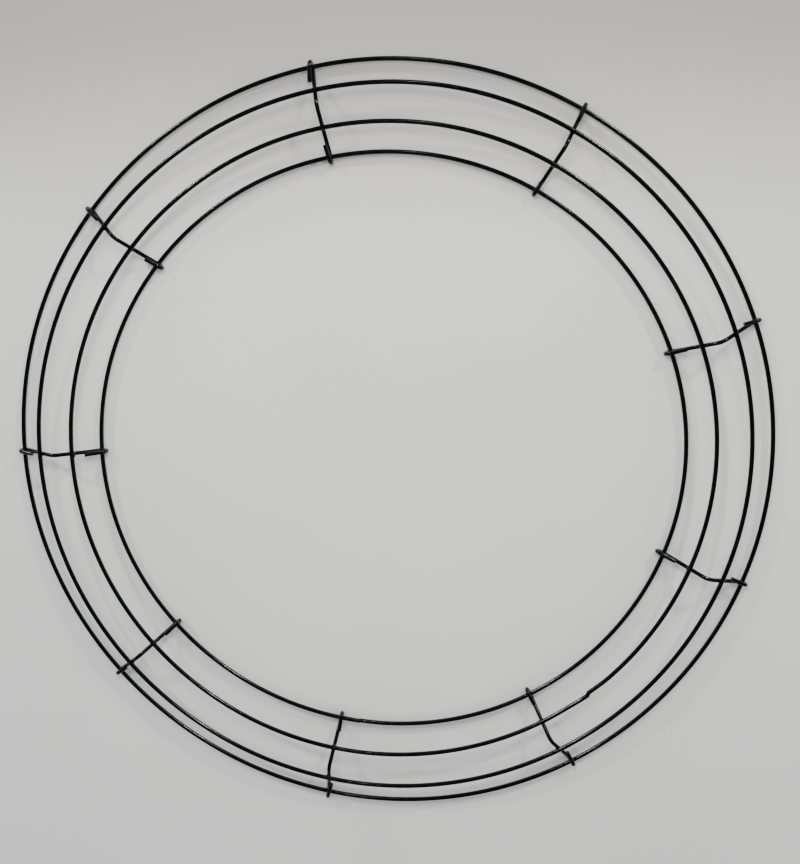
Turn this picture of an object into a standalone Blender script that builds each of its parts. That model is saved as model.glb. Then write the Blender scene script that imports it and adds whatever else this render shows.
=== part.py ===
"""Wire wreath frame: four concentric wire rings carried by nine hooked crossbars.

Each crossbar is one length of wire bent to a low ridge. It passes under the outer and the inner
ring, wraps round each of them in a hook, and carries the two middle rings on its back, where a
weld fillet joins each ring to it. Metres, +Z up. The frame rests on the undersides of its hooks
at Z = 0, ridge upwards, with the origin on the rings' axis and crossbar_1 at +Y.
"""

import math

import bmesh
import bpy
from mathutils import Matrix, Vector

# Driving dimensions, in metres
RING_WIRE_R = 0.001375        # the rings' painted wire, half of its diameter
BAR_WIRE_R = 0.0012           # the same of the crossbars' thinner wire
CLEARANCE = 0.0004            # between the surfaces of touching wires
OUTER_RING_R = 0.2272         # ring radii, to the centre of the wire
OUTER_MIDDLE_RING_R = 0.2134
INNER_MIDDLE_RING_R = 0.1930
INNER_RING_R = 0.1768
CROSSBAR_COUNT = 9
RIDGE_R = 0.2044              # where the crossbar's two straight runs would meet
RIDGE_RISE = 0.0127           # that point's height above the outer and inner rings
RIDGE_BEND_R = 0.007
TAIL_LENGTH = 0.008           # from the ring's wire to the end of a tail beside the bar
SHORT_TAIL_LENGTH = 0.0046    # the same for a tail that comes down on top of the bar
TAIL_OFFSET = 2 * BAR_WIRE_R + 0.0001

# Facets
WIRE_SIDES = 8
RING_SEGMENTS = 72            # eight to a bay, so a crossbar meets a ring mid-segment
HOOK_STEP = math.radians(31)  # largest turn at one point of a hook
RIDGE_STEPS = 4

# Weld fillets
WELD_CLEARANCE = 0.0003       # between a fillet and its two wires
WELD_REACH = 0.0025           # half-width along both wires
WELD_HALF_HEIGHT = 0.0014
WELD_SEGMENTS = 14
WELD_RINGS = 8

# Where each hook's tail lies, crossbar by crossbar: +1 beside the bar on its anticlockwise
# side, -1 beside it on its clockwise side, 0 on top of the bar
OUTER_TAILS = (1, 1, 1, 1, 1, 1, 1, 1, 1)
INNER_TAILS = (1, 0, -1, -1, 1, 1, 1, 1, 1)

GREEN_ENAMEL = (0.012, 0.028, 0.022, 1.0)
WELD_ENAMEL = (0.015, 0.031, 0.026, 1.0)

WRAP_R = RING_WIRE_R + BAR_WIRE_R + CLEARANCE
FLAT_TILT = math.pi / WIRE_SIDES


def clear_scene():
    """Remove every object that a new file opens with."""
    for obj in list(bpy.data.objects):
        bpy.data.objects.remove(obj, do_unlink=True)


def make_collection(name):
    """Add a collection to the scene."""
    collection = bpy.data.collections.new(name)
    bpy.context.scene.collection.children.link(collection)
    return collection


def make_material(name, color, roughness, metallic):
    """A Principled material with the piece's own finish."""
    material = bpy.data.materials.new(name)
    material.use_nodes = True
    shader = material.node_tree.nodes["Principled BSDF"]
    shader.inputs["Base Color"].default_value = color
    shader.inputs["Roughness"].default_value = roughness
    shader.inputs["Metallic"].default_value = metallic
    return material


def bar_slope(ring_r):
    """Angle that a crossbar falls at from the ridge to pass just under a ring."""
    run = abs(ring_r - RIDGE_R)
    return math.atan2(RIDGE_RISE, run) + math.asin(WRAP_R / math.hypot(run, RIDGE_RISE))


def middle_ring_height(ring_r, slope):
    """Height of a middle ring that lies on a crossbar's straight run."""
    return RIDGE_RISE - abs(ring_r - RIDGE_R) * math.tan(slope) + WRAP_R / math.cos(slope)


OUTER_SLOPE = bar_slope(OUTER_RING_R)
INNER_SLOPE = bar_slope(INNER_RING_R)
# The rings' height above the surface that the hooks rest on
RING_Z = WRAP_R + BAR_WIRE_R * max(math.cos(OUTER_SLOPE / 2), math.cos(INNER_SLOPE / 2))
OUTER_MIDDLE_Z = RING_Z + middle_ring_height(OUTER_MIDDLE_RING_R, OUTER_SLOPE)
INNER_MIDDLE_Z = RING_Z + middle_ring_height(INNER_MIDDLE_RING_R, INNER_SLOPE)


def wire_curve(name, points, wire_r, cyclic):
    """A curve as thick as the wire across its flats, with two of its flats facing local Z."""
    curve = bpy.data.curves.new(name, "CURVE")
    curve.dimensions = "3D"
    curve.twist_mode = "Z_UP"
    curve.bevel_depth = wire_r / math.cos(FLAT_TILT)
    curve.bevel_resolution = WIRE_SIDES // 2 - 2
    curve.use_fill_caps = not cyclic
    spline = curve.splines.new("POLY")
    spline.points.add(len(points) - 1)
    for spot, point in zip(spline.points, points):
        spot.co = (*point, 1.0)
        spot.tilt = FLAT_TILT
        spot.radius = 1.0
    spline.use_cyclic_u = cyclic
    spline.use_smooth = True
    return curve


def make_ring(name, radius, height, material, collection):
    """One ring of wire, flat and level, closed on itself."""
    step = math.tau / RING_SEGMENTS
    corner_r = radius / math.cos(step / 2)
    angles = [(i + 0.5) * step for i in range(RING_SEGMENTS)]
    points = [(corner_r * math.cos(a), corner_r * math.sin(a), 0.0) for a in angles]
    curve = wire_curve(name, points, RING_WIRE_R, True)
    curve.materials.append(material)
    ring = bpy.data.objects.new(name, curve)
    ring.location.z = height
    collection.objects.link(ring)
    return ring


def turn_angles(start, end):
    """Directions from start to end, evenly spaced by no more than HOOK_STEP."""
    count = math.ceil((end - start) / HOOK_STEP - 1e-9)
    return [start + (end - start) * i / count for i in range(1, count + 1)]


def hook_points(ring_r, side, slope, tail):
    """Points of a hook in the crossbar's plane (radius, height) and across it (offset).

    The wire is a chain of straight pieces, each tangent to a circle round the ring's own wire.
    It comes down under the ring, turns up on the side away from the ridge and comes back over
    the top, then runs on as the tail. side is +1 on the outer ring and -1 on the inner one.
    """
    under, shift_start, top = -math.pi / 2, -math.pi / 4, math.pi / 2
    tangents = [under - slope, under, under + slope] + turn_angles(under + slope, top)
    points = []
    for first, second in zip(tangents, tangents[1:]):
        middle, half = (first + second) / 2, (second - first) / 2
        reach = WRAP_R / math.cos(half)
        # the wire moves sideways only once it is well past the ring's underside
        turned = max(0.0, (middle - shift_start) / (top - shift_start))
        offset = tail * TAIL_OFFSET * turned * turned * (3 - 2 * turned)
        points.append((ring_r + side * reach * math.cos(middle), reach * math.sin(middle), offset))
    length = TAIL_LENGTH if tail else SHORT_TAIL_LENGTH
    points.append((ring_r - side * length, WRAP_R, tail * TAIL_OFFSET))
    return points


def ridge_points():
    """The rounded ridge between the crossbar's two straight runs, from the outer run inwards."""
    turn = OUTER_SLOPE + INNER_SLOPE
    lift = RIDGE_BEND_R / math.cos(turn / 2)
    lean = (OUTER_SLOPE - INNER_SLOPE) / 2
    centre = (RIDGE_R - lift * math.sin(lean), RIDGE_RISE - lift * math.cos(lean))
    first = math.pi / 2 - OUTER_SLOPE
    angles = [first + turn * i / RIDGE_STEPS for i in range(RIDGE_STEPS + 1)]
    return [(centre[0] + RIDGE_BEND_R * math.cos(a), centre[1] + RIDGE_BEND_R * math.sin(a), 0.0)
            for a in angles]


def crossbar_curve(name, outer_tail, inner_tail):
    """One crossbar's wire, from the outer tail over the ridge to the inner tail."""
    outer = hook_points(OUTER_RING_R, 1, OUTER_SLOPE, outer_tail)
    inner = hook_points(INNER_RING_R, -1, INNER_SLOPE, inner_tail)
    path = outer[::-1] + ridge_points() + inner
    # the curve is drawn flat and stood up afterwards, so an offset runs along local -Z
    return wire_curve(name, [(r, h, -offset) for r, h, offset in path], BAR_WIRE_R, False)


def azimuth(index):
    """Direction of a crossbar: the first is at +Y and the rest follow clockwise."""
    return math.pi / 2 - index * math.tau / CROSSBAR_COUNT


def make_crossbars(material, collection):
    """Nine crossbars; those whose tails lie alike share one curve."""
    shapes = {}
    for i, tails in enumerate(zip(OUTER_TAILS, INNER_TAILS)):
        name = f"crossbar_{i + 1}"
        if tails not in shapes:
            shapes[tails] = crossbar_curve(name, *tails)
            shapes[tails].materials.append(material)
        bar = bpy.data.objects.new(name, shapes[tails])
        bar.rotation_euler = (math.pi / 2, 0.0, azimuth(i))
        bar.location.z = RING_Z
        collection.objects.link(bar)


def hide_cutter(cutter):
    """Keep a cutter out of the finished object."""
    cutter.hide_render = True
    cutter.display_type = "WIRE"


def cutter_rod(name, wire_r, direction, centre, flat_way, cutters):
    """A straight rod, fatter than a wire by the fillet's clearance, a flat facing flat_way."""
    mesh = bpy.data.meshes.new(name)
    form = bmesh.new()
    radius = (wire_r + WELD_CLEARANCE) / math.cos(FLAT_TILT)
    bmesh.ops.create_cone(form, cap_ends=True, segments=WIRE_SIDES, radius1=radius,
                          radius2=radius, depth=8 * WELD_REACH)
    bmesh.ops.rotate(form, verts=form.verts, matrix=Matrix.Rotation(FLAT_TILT, 3, "Z"))
    form.to_mesh(mesh)
    form.free()
    rod = bpy.data.objects.new(name, mesh)
    across = flat_way.cross(direction)
    frame = Matrix((flat_way, across, direction)).transposed().to_4x4()
    rod.matrix_world = Matrix.Translation(centre) @ frame
    cutters.objects.link(rod)
    hide_cutter(rod)
    return rod


def weld_mesh(name, ring_r, ring_z, side, slope, parts, cutters):
    """A fillet all round the spot where a middle ring lies on a crossbar at azimuth 0.

    It starts as a flattened ball at the contact, and both wires are cut out of it.
    """
    along = Vector((side * math.cos(slope), 0.0, -math.sin(slope)))
    normal = Vector((side * math.sin(slope), 0.0, math.cos(slope)))
    ring_way = Vector((0.0, 1.0, 0.0))
    ring_centre = Vector((ring_r, 0.0, ring_z))
    bar_centre = ring_centre - normal * WRAP_R
    contact = ring_centre - normal * (RING_WIRE_R + CLEARANCE / 2)
    rods = [
        cutter_rod(name + "_ring_cutter", RING_WIRE_R, ring_way, ring_centre,
                   Vector((0.0, 0.0, 1.0)), cutters),
        cutter_rod(name + "_bar_cutter", BAR_WIRE_R, along, bar_centre, normal, cutters),
    ]
    mesh = bpy.data.meshes.new(name + "_ball")
    form = bmesh.new()
    bmesh.ops.create_uvsphere(form, u_segments=WELD_SEGMENTS, v_segments=WELD_RINGS, radius=1.0)
    bmesh.ops.scale(form, verts=form.verts, vec=(WELD_REACH, WELD_REACH, WELD_HALF_HEIGHT))
    form.to_mesh(mesh)
    form.free()
    ball = bpy.data.objects.new(name + "_ball", mesh)
    frame = Matrix((along, normal.cross(along), normal)).transposed().to_4x4()
    ball.matrix_world = Matrix.Translation(contact) @ frame
    parts.objects.link(ball)
    for rod in rods:
        cut = ball.modifiers.new(rod.name, "BOOLEAN")
        cut.operation = "DIFFERENCE"
        cut.solver = "EXACT"
        cut.object = rod
    bpy.context.view_layer.update()
    evaluated = ball.evaluated_get(bpy.context.evaluated_depsgraph_get())
    fillet = bpy.data.meshes.new_from_object(evaluated)
    fillet.name = name
    fillet.transform(ball.matrix_world)
    fillet.shade_smooth()
    fillet.set_sharp_from_angle(angle=math.radians(40))
    bpy.data.objects.remove(ball, do_unlink=True)
    return fillet


def make_welds(name, fillet, material, collection):
    """One weld fillet on every crossbar, all sharing a mesh."""
    fillet.materials.append(material)
    for i in range(CROSSBAR_COUNT):
        weld = bpy.data.objects.new(f"{name}_{i + 1}", fillet)
        weld.rotation_euler.z = azimuth(i)
        collection.objects.link(weld)


def main():
    """Build the wreath frame."""
    clear_scene()
    parts = make_collection("wreath_frame")
    cutters = make_collection("cutters")
    ring_enamel = make_material("ring_enamel", GREEN_ENAMEL, 0.35, 0.0)
    bar_enamel = make_material("crossbar_enamel", GREEN_ENAMEL, 0.38, 0.0)
    weld_enamel = make_material("weld_enamel", WELD_ENAMEL, 0.42, 0.0)

    make_ring("outer_ring", OUTER_RING_R, RING_Z, ring_enamel, parts)
    make_ring("outer_middle_ring", OUTER_MIDDLE_RING_R, OUTER_MIDDLE_Z, ring_enamel, parts)
    make_ring("inner_middle_ring", INNER_MIDDLE_RING_R, INNER_MIDDLE_Z, ring_enamel, parts)
    make_ring("inner_ring", INNER_RING_R, RING_Z, ring_enamel, parts)
    make_crossbars(bar_enamel, parts)

    outer_fillet = weld_mesh("outer_weld", OUTER_MIDDLE_RING_R, OUTER_MIDDLE_Z, 1, OUTER_SLOPE,
                             parts, cutters)
    inner_fillet = weld_mesh("inner_weld", INNER_MIDDLE_RING_R, INNER_MIDDLE_Z, -1, INNER_SLOPE,
                             parts, cutters)
    make_welds("outer_weld", outer_fillet, weld_enamel, parts)
    make_welds("inner_weld", inner_fillet, weld_enamel, parts)


main()
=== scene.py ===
"""Looks of the wire wreath frame: round enamelled wire in place of the faceted CAD wires. Metres,
+Z up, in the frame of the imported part.

Every wire is a tube swept along its own centreline. The rings are a little out of round, the
crossbars are a little out of line, and fillets of weld and enamel fill the corners where wires
touch.
"""

import math

import bmesh
import bpy
import numpy as np
from mathutils import Euler, Matrix, Vector, noise


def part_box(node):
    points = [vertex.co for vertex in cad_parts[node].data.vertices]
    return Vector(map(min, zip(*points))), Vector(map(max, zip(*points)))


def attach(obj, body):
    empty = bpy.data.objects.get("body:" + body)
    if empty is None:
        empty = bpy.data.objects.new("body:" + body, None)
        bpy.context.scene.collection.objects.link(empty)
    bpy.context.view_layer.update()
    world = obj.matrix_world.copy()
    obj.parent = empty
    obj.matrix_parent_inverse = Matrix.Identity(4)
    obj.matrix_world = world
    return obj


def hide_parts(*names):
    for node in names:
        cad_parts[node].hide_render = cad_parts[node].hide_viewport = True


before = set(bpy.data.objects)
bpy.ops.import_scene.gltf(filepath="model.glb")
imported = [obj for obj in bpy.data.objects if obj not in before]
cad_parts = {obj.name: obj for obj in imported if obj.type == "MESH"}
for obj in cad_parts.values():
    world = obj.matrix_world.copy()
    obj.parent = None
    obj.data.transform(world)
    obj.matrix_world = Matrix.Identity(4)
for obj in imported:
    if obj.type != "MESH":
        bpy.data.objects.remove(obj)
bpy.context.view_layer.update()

MM = 0.001
UP = np.array([0.0, 0.0, 1.0])

# The wires
ring_low, ring_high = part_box("outer_ring")
RING_WIRE_R = (ring_high.z - ring_low.z) / 2
BAR_WIRE_R = 1.26 * MM         # the crossbars' wire is a gauge thinner
RING_SLACK = 0.6 * MM          # keeps an out-of-round ring inside its design circle
CUT_BEVEL = 0.15 * MM          # the worn edge of a wire's cut end

# How the wires meet
HOOK_R = RING_WIRE_R + BAR_WIRE_R       # a hook lies tight against its ring
FLOOR_GAP = 0.02 * MM          # the enamel's unevenness under the hooks
HOOKED_RING_Z = HOOK_R + BAR_WIRE_R + FLOOR_GAP     # the outer and inner rings lie in the hooks
WELD_SINK = 0.3 * MM           # how far the weld presses two crossed wires together

# The crossbars' ridge
RIDGE_R = 203.9 * MM           # where the two straight runs would meet
RIDGE_RISE = 12.6 * MM         # that point's height above the hooked rings
RIDGE_BEND_R = 7 * MM

# Out-of-round of each ring: waves round the ring, their height in mm and where they peak (deg)
RING_WAVES = {
    "outer_ring": ((2, 0.15, -70.5), (3, 0.37, 35.9), (4, 0.14, -6.5)),
    "outer_middle_ring": ((2, 0.26, 21.8), (3, 0.38, 41.9), (4, 0.09, -15.0)),
    "inner_middle_ring": ((2, 0.61, -1.9), (3, 0.30, 28.5), (4, 0.03, 39.1)),
    "inner_ring": ((2, 0.84, -14.4), (3, 0.18, 45.4), (4, 0.07, 6.0)),
}
# Where each ring's wire is butt-welded to itself (deg), and how far apart its two ends sit (mm)
RING_JOINTS = {
    "outer_ring": (52.0, 0.05),
    "outer_middle_ring": (148.0, -0.05),
    "inner_middle_ring": (-60.5, 1.0),
    "inner_ring": (-106.5, 0.3),
}
JOINT_SWING = 5                # length of wire, in degrees, that swings out to a ring's joint

# How each crossbar came out of the jig. turn: degrees anticlockwise of its even place. The rest is
# in mm, sideways distances being anticlockwise: (hook's sideways place, tail end's sideways place,
# tail's length from the ring, how far the hook stands out past a tight one) at the outer ring, the
# ridge's sideways place, and the hook again at the inner ring.
CROSSBARS = (
    (0.30, (-0.1, 2.2, 8.5, 0.35), -0.55, (-0.65, 0.6, 7.1, 0.5)),
    (0.11, (-0.3, -1.2, 6.6, 0.4), -2.15, (-0.1, -0.4, 5.2, 0.25)),
    (-0.22, (0.75, 1.6, 7.2, -0.05), -2.5, (0.1, -1.0, 8.6, 0.75)),
    (-0.56, (0.9, 2.0, 7.9, -0.05), -1.55, (1.1, -0.2, 7.3, 1.55)),
    (-0.55, (2.5, 3.5, 8.4, -0.15), -0.25, (0.75, 0.45, 6.0, 0.85)),
    (-0.30, (0.15, 1.5, 7.6, 0.95), -1.25, (0.25, 0.55, 7.6, 0.35)),
    (-0.18, (0.1, 0.5, 6.3, -0.05), -0.35, (-0.5, 0.25, 8.4, 0.35)),
    (0.74, (-1.5, 0.05, 6.8, -0.35), -0.35, (-0.9, 0.8, 9.4, 0.1)),
    (0.70, (-0.6, 0.0, 7.4, 0.0), 0.7, (-0.75, 0.8, 7.2, 0.65)),
)

# Where a crossbar's straight run is looked for, beside its crossing's radius and design height.
# The height keeps the hooks' tails out.
CROSSING_REACH = 4 * MM
CROSSING_RISE = 3.5 * MM

# Sweeping
WIRE_SIDES = 16
RING_STEPS = 540
PATH_STEP = 0.4 * MM
SIDEWAYS_WINDOW = 11           # steps over which a crossbar's sideways bends are rounded
STRAIGHT_POINTS = 15
SHARP_ANGLE = 35               # degrees, beyond which an edge is shaded sharp

# The enamel coat's unevenness: waves per metre, and depth as a share of the wire's radius
COAT_SAG = (90, 0.018)
COAT_RIPPLE = (420, 0.008)
RING_COAT_SEED = 3.7
BAR_COAT_SEED = 20.3

# Fillets
FILLET_R = 0.75 * MM           # radius of the hollow that weld and enamel leave in a corner
HOOK_FILLET_R = 0.4 * MM       # the same in the hooks, which only enamel fills
FILLET_SINK = 0.05 * MM        # how far a fillet's mesh lies under the wires' own surface
FILLET_VOXEL = 0.2 * MM
FILLET_SMOOTHING = 4           # passes
FILLET_REACH = 3.4 * MM        # length of wire, either way from a crossing, that a fillet covers
FAT_SIDES = 20
HOOK_WEB_REACH = 9 * MM        # how far along its bar, from the hook's tip, enamel can web a hook
BUTT_OVERLAP = 1.0 * MM        # how far each end of a ring's wire is carried on inside its weld
BUTT_POINTS = 6                # points at each end of a ring's wire that its weld's mesh follows

# Beads of weld metal: how many, how far from the weld's middle, and their radii as shares of the
# ring wire's radius
BEADS = 4
WELD_BEADS = (1.0 * MM, (0.6, 0.85))
BUTT_BEADS = (0.35 * MM, (0.85, 0.95))

# Enamel
RUBBED_ROUGHNESS = 0.18        # how much rougher a rubbed spot is

# The floor: pale, with painted shade that turns it to a darker, warmer grey towards the far edge
FLOOR_HALF_SIZE = 4.0
FLOOR_PALE = ((0.60, 0.594, 0.582, 1), (0.64, 0.634, 0.622, 1))
FLOOR_SHADE_COLOR = (0.31, 0.29, 0.262, 1)
FLOOR_SHADE_REACH = (0.10, 0.27)      # how far out it turns
FLOOR_SHADE_AZIMUTH = 80        # and which way, in degrees

# The lights: azimuth and elevation in degrees, distance, size, watts, colour, and whether the
# enamel mirrors them
WARM = (1.0, 0.985, 0.96)
COOL = (0.96, 0.985, 1.0)
LIGHTS = {
    "near": (80, 58, 0.6, (0.3, 0.2), 2.7, WARM, False),
    "right": (-12, 17, 2.2, (0.3, 0.3), 10, WARM, False),
    "left": (168, 13, 2.2, (0.3, 0.3), 12, COOL, False),
    "key": (44, 28, 2.2, (0.12, 0.12), 22, WARM, True),
    "second": (125.5, 28, 2.2, (0.14, 0.14), 18, COOL, True),
    "third": (82, 52, 2.2, (0.12, 0.12), 3, WARM, True),
}
SKY_COLOR = (0.95, 0.98, 1.0, 1)
SKY_STRENGTH = 0.80

# The camera, and the directions of its picture's right and top edges
CAMERA_PLACE = (0.09162, 0.11328, 0.64367)
CAMERA_RIGHT = (0.97846, -0.18314, -0.09522)
CAMERA_UP = (0.16434, 0.97030, -0.17750)
CAMERA_LENS = 45.309


def unit(v):
    """A vector, or each row of vectors, at length 1."""
    return v / np.linalg.norm(v, axis=-1, keepdims=True)


def outward(angle):
    """Level unit vector at an azimuth."""
    return np.array([math.cos(angle), math.sin(angle), 0.0])


def eased(share):
    """A share from 0 to 1 that starts and stops gently."""
    return share * share * (3 - 2 * share)


def design_radius(node):
    """Radius of a CAD ring to the centre of its wire."""
    low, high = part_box(node)
    return (high.x - low.x) / 2 - RING_WIRE_R


def ring_radius(node, angle):
    """Radius of the finished ring at an azimuth, out-of-round included. Takes arrays too."""
    radius = design_radius(node) - RING_SLACK
    for order, height, peak in RING_WAVES[node]:
        radius = radius + height * MM * np.cos(order * (angle - math.radians(peak)))
    return radius


# ---------------------------------------------------------------- crossbar centrelines

def tangent_slope(run, rise):
    """Slope of the line that falls by rise over run and touches a hook's circle from below."""
    return math.atan2(rise, run) + math.asin(HOOK_R / math.hypot(run, rise))


def arc(centre, radius, start, end):
    """Points of an arc in (radius, height), from angle start to angle end."""
    count = max(2, math.ceil(abs(end - start) * radius / PATH_STEP))
    return [(centre[0] + radius * math.cos(a), centre[1] + radius * math.sin(a))
            for a in np.linspace(start, end, count + 1)]


def hook_arc(ring_r, side, slope, tail_end, looseness):
    """A hook in (radius, height): round its ring from the straight run to the start of the tail.

    side is +1 at the outer ring and -1 at the inner one. The tail runs straight from the top of
    the circle to tail_end. looseness is how far the hook's far side stands out past the circle.
    """
    across = side * (ring_r - tail_end[0])
    up = tail_end[1] - HOOKED_RING_Z
    leave = math.atan2(up, -across) - math.acos(min(1.0, HOOK_R / math.hypot(across, up)))
    turned = arc((0.0, HOOKED_RING_Z), HOOK_R, -math.pi / 2 - slope, leave)
    return [(ring_r + side * (x + looseness * max(0.0, x / HOOK_R) ** 2), z) for x, z in turned]


def along(points):
    """Distance of each point from the first, along the line."""
    steps = np.linalg.norm(np.diff(points, axis=0), axis=1)
    return np.concatenate([[0.0], np.cumsum(steps)])


def spaced(points, step):
    """The same line with its points evenly spaced."""
    distance = along(points)
    at = np.linspace(0.0, distance[-1], math.ceil(distance[-1] / step) + 1)
    return np.stack([np.interp(at, distance, column) for column in points.T], axis=1)


def rounded(values, window):
    """A weighted running mean, with the ends carried on straight."""
    half = window // 2
    before = 2 * values[0] - values[half:0:-1]
    after = 2 * values[-1] - values[-2:-half - 2:-1]
    kernel = np.hanning(2 * half + 3)[1:-1]
    return np.convolve(np.concatenate([before, values, after]), kernel / kernel.sum(), "valid")


class Crossbar:
    """The centreline of one crossbar, as points, and the indices of its hooks' tips among them."""

    def __init__(self, index):
        turn, self.outer, self.ridge, self.inner = CROSSBARS[index]
        self.azimuth = math.pi / 2 - index * math.tau / len(CROSSBARS) + math.radians(turn)
        self.left = outward(self.azimuth + math.pi / 2)
        self.outer_r = float(ring_radius("outer_ring", self.azimuth))
        self.inner_r = float(ring_radius("inner_ring", self.azimuth))
        self.outer_slope = tangent_slope(self.outer_r - RIDGE_R, RIDGE_RISE)
        self.inner_slope = tangent_slope(RIDGE_R - self.inner_r, RIDGE_RISE)
        self.points = self.centreline()

    def run_height(self, radius):
        """Height of the straight runs' centreline at a radius."""
        slope = self.outer_slope if radius > RIDGE_R else self.inner_slope
        return HOOKED_RING_Z + RIDGE_RISE - abs(radius - RIDGE_R) * math.tan(slope)

    def tail_end(self, ring_r, side, hook):
        """Where a tail's end comes to rest, on the ring's level or against the bar beside it."""
        hook_side, end_side, length, _ = hook
        radius = ring_r - side * length * MM
        share = length * MM / abs(ring_r - RIDGE_R)
        bar_side = hook_side + (self.ridge - hook_side) * share
        beside = (end_side - bar_side) * MM
        slope = self.outer_slope if side > 0 else self.inner_slope
        gap = math.sqrt(max(0.0, (2 * BAR_WIRE_R) ** 2 - beside ** 2)) / math.cos(slope)
        return radius, max(HOOKED_RING_Z + HOOK_R, self.run_height(radius) + gap)

    def ridge_arc(self):
        """The rounded ridge, from the outer run to the inner one."""
        turn = self.outer_slope + self.inner_slope
        lift = RIDGE_BEND_R / math.cos(turn / 2)
        lean = (self.outer_slope - self.inner_slope) / 2
        apex_z = HOOKED_RING_Z + RIDGE_RISE
        centre = (RIDGE_R - lift * math.sin(lean), apex_z - lift * math.cos(lean))
        first = math.pi / 2 - self.outer_slope
        return arc(centre, RIDGE_BEND_R, first, first + turn)

    def centreline(self):
        """Points from the outer tail over the ridge to the inner tail."""
        outer_end = self.tail_end(self.outer_r, 1, self.outer)
        inner_end = self.tail_end(self.inner_r, -1, self.inner)
        outer_hook = hook_arc(self.outer_r, 1, self.outer_slope, outer_end, self.outer[3] * MM)
        inner_hook = hook_arc(self.inner_r, -1, self.inner_slope, inner_end, self.inner[3] * MM)
        profile = [outer_end, *outer_hook[::-1], *self.ridge_arc(), *inner_hook, inner_end]
        profile = spaced(np.array(profile), PATH_STEP)
        distance = along(profile)
        self.tips = profile[:, 0].argmax(), profile[:, 0].argmin()
        crest = profile[:, 1].argmax()
        places = distance[[0, self.tips[0], crest, self.tips[1], -1]]
        sideways = [self.outer[1], self.outer[0], self.ridge, self.inner[0], self.inner[1]]
        offset = rounded(np.interp(distance, places, sideways), SIDEWAYS_WINDOW) * MM
        points = profile[:, :1] * outward(self.azimuth) + offset[:, None] * self.left
        points[:, 2] = profile[:, 1]
        return points

    def crossing(self, radius):
        """Point and direction of the straight run where it crosses a middle ring."""
        reach = np.hypot(self.points[:, 0], self.points[:, 1])
        height = self.points[:, 2]
        on_run = (height > HOOKED_RING_Z) & (np.abs(reach - radius) < CROSSING_REACH)
        on_run &= np.abs(height - self.run_height(radius)) < CROSSING_RISE
        near = np.where(on_run)[0]
        run = np.arange(near.min(), near.max() + 1)
        pick = run[np.argmin(np.abs(reach[run] - radius))]
        way = unit(self.points[pick + 1] - self.points[pick - 1])
        return self.points[pick], way


bars = [Crossbar(i) for i in range(len(CROSSBARS))]


# ---------------------------------------------------------------- ring centrelines

def eased_between(angles, knots, values):
    """Values at angles, easing from each knot to the next round the circle."""
    order = np.argsort(np.mod(knots, math.tau))
    knots = np.mod(knots, math.tau)[order]
    values = np.array(values)[order]
    knots = np.concatenate([[knots[-1] - math.tau], knots, [knots[0] + math.tau]])
    values = np.concatenate([[values[-1]], values, [values[0]]])
    angles = np.mod(angles, math.tau)
    place = np.searchsorted(knots, angles, side="right") - 1
    share = eased((angles - knots[place]) / (knots[place + 1] - knots[place]))
    return values[place] * (1 - share) + values[place + 1] * share


def ring_height(node, angles):
    """Height of a ring's centreline: level in its hooks, or carried on the crossbars' backs."""
    if node in ("outer_ring", "inner_ring"):
        return np.full_like(angles, HOOKED_RING_Z)
    rests = []
    for bar in bars:
        radius = float(ring_radius(node, bar.azimuth))
        slope = bar.outer_slope if radius > RIDGE_R else bar.inner_slope
        rests.append(bar.run_height(radius) + (HOOK_R - WELD_SINK) / math.cos(slope))
    return eased_between(angles, np.array([bar.azimuth for bar in bars]), rests)


def ring_points(node):
    """A ring's centreline from one end of its wire round to the other, at the butt joint."""
    joint, offset = RING_JOINTS[node]
    sweep = np.linspace(0.0, math.tau, RING_STEPS + 1)
    angles = math.radians(joint) + sweep
    radius = ring_radius(node, angles)
    # the last stretch of wire swings out to its end, and the first swings in
    swing = math.radians(JOINT_SWING)
    first = np.clip(1 - sweep / swing, 0, 1)
    last = np.clip(1 - (math.tau - sweep) / swing, 0, 1)
    radius = radius + offset * MM / 2 * (eased(last) - eased(first))
    return np.stack([radius * np.cos(angles), radius * np.sin(angles),
                     ring_height(node, angles)], axis=1)


# ---------------------------------------------------------------- meshes

def new_piece(name, mesh, slot, *nodes):
    """Add a finished mesh to the scene as a piece that rides on the frame.

    nodes are the CAD's nodes that it stands in for, if any.
    """
    piece = bpy.data.objects.new(name, mesh)
    bpy.context.scene.collection.objects.link(piece)
    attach(piece, "root")
    if nodes:
        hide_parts(*nodes)


def sweep_tube(points, across, radii, sides):
    """Vertices and faces of a tube along points, with its ends closed.

    across is a direction that is never along the wire.
    """
    ways = unit(np.gradient(points, axis=0))
    side = unit(across - (across * ways).sum(axis=1, keepdims=True) * ways)
    up = np.cross(ways, side)
    phases = np.arange(sides) * math.tau / sides
    circle = np.cos(phases)[:, None, None] * side + np.sin(phases)[:, None, None] * up
    rings = points + circle * np.broadcast_to(radii, len(points))[:, None]
    vertices = rings.transpose(1, 0, 2).reshape(-1, 3)
    faces = []
    for i in range(len(points) - 1):
        for j in range(sides):
            k = (j + 1) % sides
            faces.append((i * sides + j, i * sides + k, (i + 1) * sides + k, (i + 1) * sides + j))
    faces.append(tuple(range(sides))[::-1])
    last = (len(points) - 1) * sides
    faces.append(tuple(last + j for j in range(sides)))
    return vertices, faces


def cut_end_radii(points, radius):
    """Points and radii along a wire whose two cut ends are slightly bevelled."""
    first_way = unit(points[1] - points[0])
    last_way = unit(points[-1] - points[-2])
    points = np.concatenate([points[:1], points[:1] + first_way * CUT_BEVEL, points[1:-1],
                             points[-1:] - last_way * CUT_BEVEL, points[-1:]])
    radii = np.full(len(points), radius)
    radii[0] = radii[-1] = radius - CUT_BEVEL
    return points, radii


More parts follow.
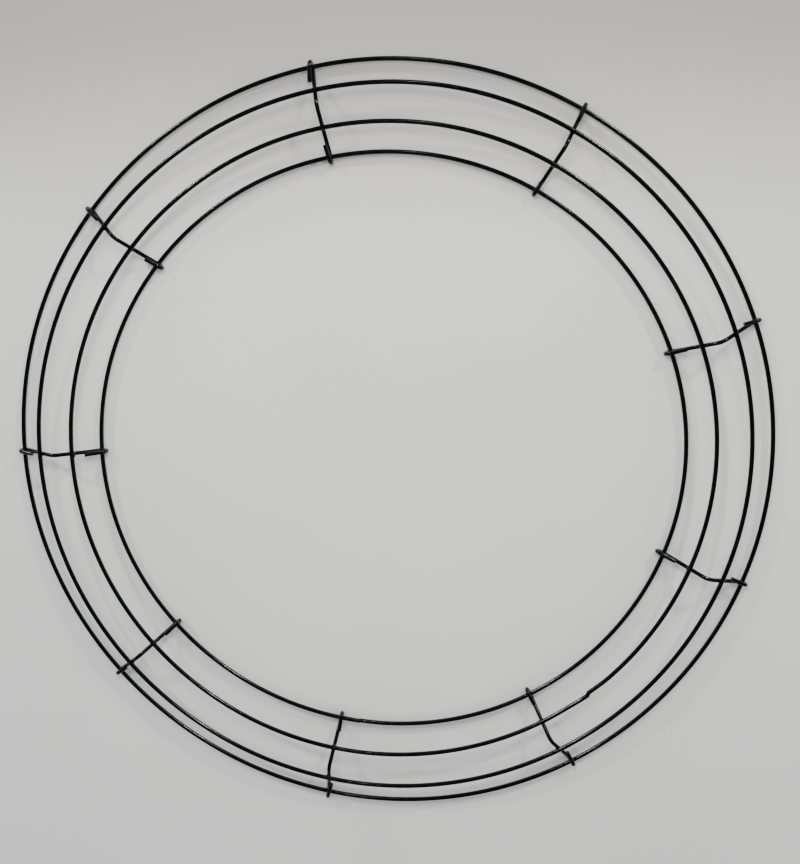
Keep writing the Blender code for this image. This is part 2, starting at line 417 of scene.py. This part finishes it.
def round_end_radii(points, radius):
    """Radii along a tube whose two ends are round, within its length."""
    least = 0.1 * radius
    distance = along(points)
    to_end = np.minimum(distance, distance[-1] - distance)
    short = np.maximum(radius - to_end, 0.0)
    return np.sqrt(np.maximum(radius ** 2 - short ** 2, least ** 2))


def uneven(points, radii, seed):
    """Radii varied by the enamel's thickness, by a few hundredths of a millimetre."""
    sag_scale, sag_depth = COAT_SAG
    ripple_scale, ripple_depth = COAT_RIPPLE
    thick = [noise.noise(Vector(p) * sag_scale + Vector((seed, 0, 0))) * sag_depth
             + noise.noise(Vector(p) * ripple_scale + Vector((0, seed, 0))) * ripple_depth
             for p in points]
    return radii * (1 + np.array(thick))


def mesh_of(name, vertices, faces, material):
    """A shaded mesh with crisp cut ends."""
    mesh = bpy.data.meshes.new(name)
    mesh.from_pydata([tuple(v) for v in vertices], [], faces)
    form = bmesh.new()
    form.from_mesh(mesh)
    bmesh.ops.recalc_face_normals(form, faces=form.faces)
    form.to_mesh(mesh)
    form.free()
    mesh.shade_smooth()
    mesh.set_sharp_from_angle(angle=math.radians(SHARP_ANGLE))
    mesh.materials.append(material)
    return mesh


def wire_mesh(name, points, across, wire_r, material, seed):
    """A length of enamelled wire along points. seed tells its coat from the other wires'."""
    points, radii = cut_end_radii(points, wire_r)
    vertices, faces = sweep_tube(points, across, uneven(points, radii, seed), WIRE_SIDES)
    return mesh_of(name, vertices, faces, material)


def fillet_mesh(name, lines, beads, material, fillet_r=FILLET_R):
    """The weld or enamel that fills the corners between wires that touch.

    lines are the wires, each as points, a direction across it and its radius, and beads are balls
    of weld metal, each as a centre and a radius. They are all drawn too fat, joined in a voxel
    remesh and shrunk again by the same amount, a little past their own surface. What is left
    outside the wires is the fillet in each corner.
    """
    fat = bmesh.new()
    for points, across, wire_r in lines:
        points = spaced(points, PATH_STEP)
        radii = round_end_radii(points, wire_r + fillet_r)
        vertices, faces = sweep_tube(points, across, radii, FAT_SIDES)
        mesh = mesh_of(name + "_fat", vertices, faces, material)
        fat.from_mesh(mesh)
        bpy.data.meshes.remove(mesh)
    for centre, radius in beads:
        place = Matrix.Translation(centre)
        bmesh.ops.create_icosphere(fat, subdivisions=3, radius=radius + fillet_r, matrix=place)
    # the remesh works in millimetres
    bmesh.ops.scale(fat, verts=fat.verts, vec=(1 / MM,) * 3)
    mesh = bpy.data.meshes.new(name)
    fat.to_mesh(mesh)
    fat.free()
    blank = bpy.data.objects.new(name + "_fat", mesh)
    bpy.context.scene.collection.objects.link(blank)
    remesh = blank.modifiers.new("fuse", "REMESH")
    remesh.mode = "VOXEL"
    remesh.voxel_size = FILLET_VOXEL / MM
    remesh.use_smooth_shade = True
    bpy.context.view_layer.update()
    evaluated = blank.evaluated_get(bpy.context.evaluated_depsgraph_get())
    fused = bpy.data.meshes.new_from_object(evaluated)
    bpy.data.objects.remove(blank, do_unlink=True)
    bpy.data.meshes.remove(mesh)
    form = bmesh.new()
    form.from_mesh(fused)
    form.normal_update()
    normals = [v.normal.copy() for v in form.verts]
    for vertex, normal in zip(form.verts, normals):
        vertex.co -= normal * (fillet_r + FILLET_SINK) / MM
    for _ in range(FILLET_SMOOTHING):
        bmesh.ops.smooth_vert(form, verts=form.verts, factor=0.5, use_axis_x=True,
                              use_axis_y=True, use_axis_z=True)
    bmesh.ops.scale(form, verts=form.verts, vec=(MM,) * 3)
    form.to_mesh(fused)
    form.free()
    fused.name = name
    fused.shade_smooth()
    fused.materials.clear()
    fused.materials.append(material)
    return fused


# ---------------------------------------------------------------- materials

class Nodes:
    """Shorthand for building a material's node tree."""

    def __init__(self, name):
        self.material = bpy.data.materials.new(name)
        self.material.use_nodes = True
        self.tree = self.material.node_tree
        self.shader = self.tree.nodes["Principled BSDF"]
        self.place = self.add("ShaderNodeTexCoord").outputs["Object"]

    def add(self, kind, **settings):
        """A node with its properties, or the default values of its inputs, set by name."""
        node = self.tree.nodes.new(kind)
        for key, value in settings.items():
            if hasattr(node, key):
                setattr(node, key, value)
            else:
                node.inputs[key].default_value = value
        return node

    def link(self, source, target):
        """Join two sockets."""
        self.tree.links.new(source, target)

    def noise(self, scale, detail, roughness=0.5):
        """Noise in the object's own space, scale per metre."""
        node = self.add("ShaderNodeTexNoise", Scale=scale, Detail=detail, Roughness=roughness)
        self.link(self.place, node.inputs["Vector"])
        return node.outputs["Fac"]

    def ramp(self, source, stops):
        """A colour ramp of (position, colour) stops."""
        node = self.add("ShaderNodeValToRGB")
        ramp = node.color_ramp
        while len(ramp.elements) < len(stops):
            ramp.elements.new(0.5)
        for element, (position, color) in zip(ramp.elements, stops):
            element.position = position
            element.color = color
        self.link(source, node.inputs["Fac"])
        return node.outputs["Color"]

    def spread(self, source, low, high):
        """Noise, which seldom leaves 0.3 to 0.7, stretched to run from low to high."""
        node = self.add("ShaderNodeMapRange")
        node.inputs["From Min"].default_value = 0.3
        node.inputs["From Max"].default_value = 0.7
        node.inputs["To Min"].default_value = low
        node.inputs["To Max"].default_value = high
        self.link(source, node.inputs["Value"])
        return node.outputs["Result"]

    def mix(self, share, first, second):
        """Two colours mixed by a share."""
        node = self.add("ShaderNodeMix", data_type="RGBA")
        self.link(share, node.inputs["Factor"])
        self.link(first, node.inputs["A"])
        self.link(second, node.inputs["B"])
        return node.outputs["Result"]


def grey(value):
    """An opaque grey."""
    return (value, value, value, 1.0)


def enamel(name, dark, light, worn, rough, wear):
    """Dip-applied green enamel on steel wire.

    The coat is dark where it is thick and light where it is thin, with a fine orange peel, small
    pits, and a few dull worn spots. rough is its roughness, and more wear makes more worn spots.
    """
    nodes = Nodes(name)
    thickness = nodes.noise(scale=260, detail=4, roughness=0.6)
    pooled = nodes.ramp(thickness, ((0.35, dark), (0.68, light)))
    spots = nodes.noise(scale=900, detail=6, roughness=0.65)
    rubbed = nodes.ramp(spots, ((0.62 - wear, grey(0)), (0.70 - wear, grey(1))))
    scuffs = nodes.noise(scale=3000, detail=3)
    tone = nodes.ramp(scuffs, ((0.3, worn), (0.7, light)))
    nodes.link(nodes.mix(rubbed, pooled, tone), nodes.shader.inputs["Base Color"])
    sheen = nodes.noise(scale=480, detail=5, roughness=0.6)
    gloss = nodes.spread(sheen, rough - 0.04, rough + 0.07)
    dull = nodes.add("ShaderNodeMath", operation="MULTIPLY_ADD")
    nodes.link(rubbed, dull.inputs[0])
    dull.inputs[1].default_value = RUBBED_ROUGHNESS
    nodes.link(gloss, dull.inputs[2])
    nodes.link(dull.outputs["Value"], nodes.shader.inputs["Roughness"])
    peel = nodes.add("ShaderNodeBump", Strength=0.08, Distance=0.00012)
    nodes.link(nodes.noise(scale=1500, detail=3), peel.inputs["Height"])
    pits = nodes.add("ShaderNodeBump", Strength=0.06, Distance=0.00005)
    nodes.link(nodes.noise(scale=6000, detail=2), pits.inputs["Height"])
    nodes.link(peel.outputs["Normal"], pits.inputs["Normal"])
    nodes.link(pits.outputs["Normal"], nodes.shader.inputs["Normal"])
    nodes.shader.inputs["IOR"].default_value = 1.5
    nodes.shader.inputs["Specular IOR Level"].default_value = 0.4
    return nodes.material


ring_enamel = enamel("ring_enamel", dark=(0.0008, 0.0018, 0.0016, 1),
                     light=(0.0024, 0.005, 0.0044, 1), worn=(0.009, 0.014, 0.012, 1),
                     rough=0.14, wear=0.0)
bar_enamel = enamel("crossbar_enamel", dark=(0.0008, 0.0018, 0.0016, 1),
                    light=(0.0026, 0.0054, 0.0048, 1), worn=(0.010, 0.015, 0.013, 1),
                    rough=0.16, wear=0.01)
weld_enamel = enamel("weld_enamel", dark=(0.0007, 0.0016, 0.0014, 1),
                     light=(0.0022, 0.0046, 0.0042, 1), worn=(0.009, 0.014, 0.012, 1),
                     rough=0.18, wear=0.01)


# ---------------------------------------------------------------- the wreath frame

def make_rings():
    """The four rings. Returns their centrelines."""
    lines = {}
    for i, node in enumerate(RING_WAVES):
        points = ring_points(node)
        seed = RING_COAT_SEED + i
        mesh = wire_mesh("wire_" + node, points, UP, RING_WIRE_R, ring_enamel, seed)
        new_piece("wire_" + node, mesh, "ring_wire", node)
        lines[node] = points
    return lines


def make_crossbars():
    """The nine crossbars."""
    for i, bar in enumerate(bars):
        name = f"wire_crossbar_{i + 1}"
        seed = BAR_COAT_SEED + i
        mesh = wire_mesh(name, bar.points, bar.left, BAR_WIRE_R, bar_enamel, seed)
        new_piece(name, mesh, "crossbar_wire", f"crossbar_{i + 1}")


def straight(centre, way):
    """Points of a straight line that reaches as far as a fillet does either way from centre."""
    return centre + way * FILLET_REACH * np.linspace(-1, 1, STRAIGHT_POINTS)[:, None]


def ring_stretch(points, near):
    """The middle point and direction of the part of a ring that is nearest to a place."""
    middle = np.argmin(np.linalg.norm(points - near, axis=1))
    return points[middle], unit(points[(middle + 1) % len(points)] - points[middle - 1])


def weld_beads(random, centre, spread, sizes):
    """Beads of weld metal scattered about a place, most of them a little above it."""
    beads = []
    for _ in range(BEADS):
        turn = random.uniform(0, math.tau)
        push = np.array([math.cos(turn), math.sin(turn), random.uniform(-0.3, 0.9)])
        size = RING_WIRE_R * random.uniform(*sizes)
        beads.append((Vector(centre + push * random.uniform(0.7, 1.3) * spread), size))
    return beads


def make_welds(lines):
    """A weld fillet where each middle ring lies on each crossbar."""
    random = np.random.default_rng(seed=11)
    for which in ("outer", "inner"):
        ring = lines[which + "_middle_ring"]
        for i, bar in enumerate(bars):
            radius = float(ring_radius(which + "_middle_ring", bar.azimuth))
            bar_point, bar_way = bar.crossing(radius)
            ring_point, ring_way = ring_stretch(ring, bar_point)
            wires = ((straight(bar_point, bar_way), bar.left, BAR_WIRE_R),
                     (straight(ring_point, ring_way), UP, RING_WIRE_R))
            beads = weld_beads(random, (bar_point + ring_point) / 2, *WELD_BEADS)
            name = f"weld_{which}_{i + 1}"
            mesh = fillet_mesh(name, wires, beads, weld_enamel)
            new_piece(name, mesh, "weld", f"{which}_weld_{i + 1}")


def make_hook_webs(lines):
    """The enamel that webs the corners of each hook: against its ring and between tail and bar."""
    reach = round(HOOK_WEB_REACH / PATH_STEP)
    for i, bar in enumerate(bars):
        outer_tip, inner_tip = bar.tips
        hooks = (("outer", bar.points[outer_tip], bar.points[:outer_tip + reach]),
                 ("inner", bar.points[inner_tip], bar.points[inner_tip - reach:]))
        for which, tip, hook in hooks:
            ring_point, ring_way = ring_stretch(lines[which + "_ring"], tip)
            wires = ((hook, bar.left, BAR_WIRE_R),
                     (straight(ring_point, ring_way), UP, RING_WIRE_R))
            name = f"enamel_{which}_hook_{i + 1}"
            mesh = fillet_mesh(name, wires, (), bar_enamel, HOOK_FILLET_R)
            new_piece(name, mesh, "crossbar_wire")


def carried_on(points):
    """A line carried on straight past its first point, so that its round end lies in the weld."""
    return np.concatenate([points[:1] + unit(points[0] - points[1]) * BUTT_OVERLAP, points])


def make_butt_welds(lines):
    """The weld that closes each ring, a slightly swollen collar over the wire's two ends."""
    random = np.random.default_rng(seed=5)
    for node, points in lines.items():
        wires = ((carried_on(points[:BUTT_POINTS]), UP, RING_WIRE_R),
                 (carried_on(points[-BUTT_POINTS:][::-1]), UP, RING_WIRE_R))
        beads = weld_beads(random, (points[0] + points[-1]) / 2, *BUTT_BEADS)
        mesh = fillet_mesh("butt_weld_" + node, wires, beads, weld_enamel)
        new_piece("butt_weld_" + node, mesh, "ring_wire")


# ---------------------------------------------------------------- floor, lights and camera

def make_floor():
    """A pale floor, slightly mottled, with painted shade that darkens it towards the far edge."""
    mesh = bpy.data.meshes.new("floor")
    half = FLOOR_HALF_SIZE
    corners = [(-half, -half, 0), (half, -half, 0), (half, half, 0), (-half, half, 0)]
    mesh.from_pydata(corners, [], [(0, 1, 2, 3)])
    floor = bpy.data.objects.new("floor", mesh)
    bpy.context.scene.collection.objects.link(floor)
    nodes = Nodes("floor")
    blotches = nodes.noise(scale=6, detail=3)
    mottle = nodes.ramp(blotches, ((0.3, FLOOR_PALE[0]), (0.7, FLOOR_PALE[1])))
    # painted shade: the floor turns to a darker, warmer grey towards one side, standing in for
    # light that falls off there
    along_shade = nodes.add("ShaderNodeVectorMath", operation="DOT_PRODUCT")
    nodes.link(nodes.place, along_shade.inputs[0])
    along_shade.inputs[1].default_value = outward(math.radians(FLOOR_SHADE_AZIMUTH))
    shade_share = nodes.add("ShaderNodeMapRange", interpolation_type="SMOOTHSTEP")
    shade_share.inputs["From Min"].default_value = FLOOR_SHADE_REACH[0]
    shade_share.inputs["From Max"].default_value = FLOOR_SHADE_REACH[1]
    nodes.link(along_shade.outputs["Value"], shade_share.inputs["Value"])
    shade = nodes.add("ShaderNodeRGB")
    shade.outputs["Color"].default_value = FLOOR_SHADE_COLOR
    tone = nodes.mix(shade_share.outputs["Result"], mottle, shade.outputs["Color"])
    nodes.link(tone, nodes.shader.inputs["Base Color"])
    nodes.shader.inputs["Roughness"].default_value = 0.9
    mesh.materials.append(nodes.material)


def add_light(name, azimuth, elevation, distance, size, power, color, in_gloss):
    """A rectangular area light that faces the frame."""
    data = bpy.data.lights.new(name, "AREA")
    data.shape = "RECTANGLE"
    data.size, data.size_y = size
    data.energy = power
    data.color = color
    light = bpy.data.objects.new(name, data)
    turn = Euler((math.radians(90 - elevation), 0.0, math.radians(azimuth + 90)))
    light.rotation_euler = turn
    light.location = turn.to_matrix() @ Vector((0.0, 0.0, distance))
    light.visible_glossy = in_gloss
    bpy.context.scene.collection.objects.link(light)


def make_lights():
    """Soft studio lights all round. Only the three small ones show as highlights in the enamel."""
    for name, settings in LIGHTS.items():
        add_light(name, *settings)
    world = bpy.data.worlds.new("studio")
    world.use_nodes = True
    world.cycles_visibility.glossy = False
    background = world.node_tree.nodes["Background"]
    background.inputs["Color"].default_value = SKY_COLOR
    background.inputs["Strength"].default_value = SKY_STRENGTH
    bpy.context.scene.world = world


def make_camera():
    """A camera nearly over the frame, leaning in from the upper right."""
    data = bpy.data.cameras.new("camera")
    data.lens = CAMERA_LENS
    data.sensor_width = 36.0
    right = Vector(CAMERA_RIGHT)
    up = Vector(CAMERA_UP)
    back = right.cross(up).normalized()
    right = up.cross(back).normalized()
    up = back.cross(right)
    camera = bpy.data.objects.new("camera", data)
    turn = Matrix((right, up, back)).transposed().to_4x4()
    camera.matrix_world = Matrix.Translation(CAMERA_PLACE) @ turn
    bpy.context.scene.collection.objects.link(camera)
    bpy.context.scene.camera = camera


make_camera()
ring_lines = make_rings()
make_crossbars()
make_welds(ring_lines)
make_hook_webs(ring_lines)
make_butt_welds(ring_lines)
make_floor()
make_lights()
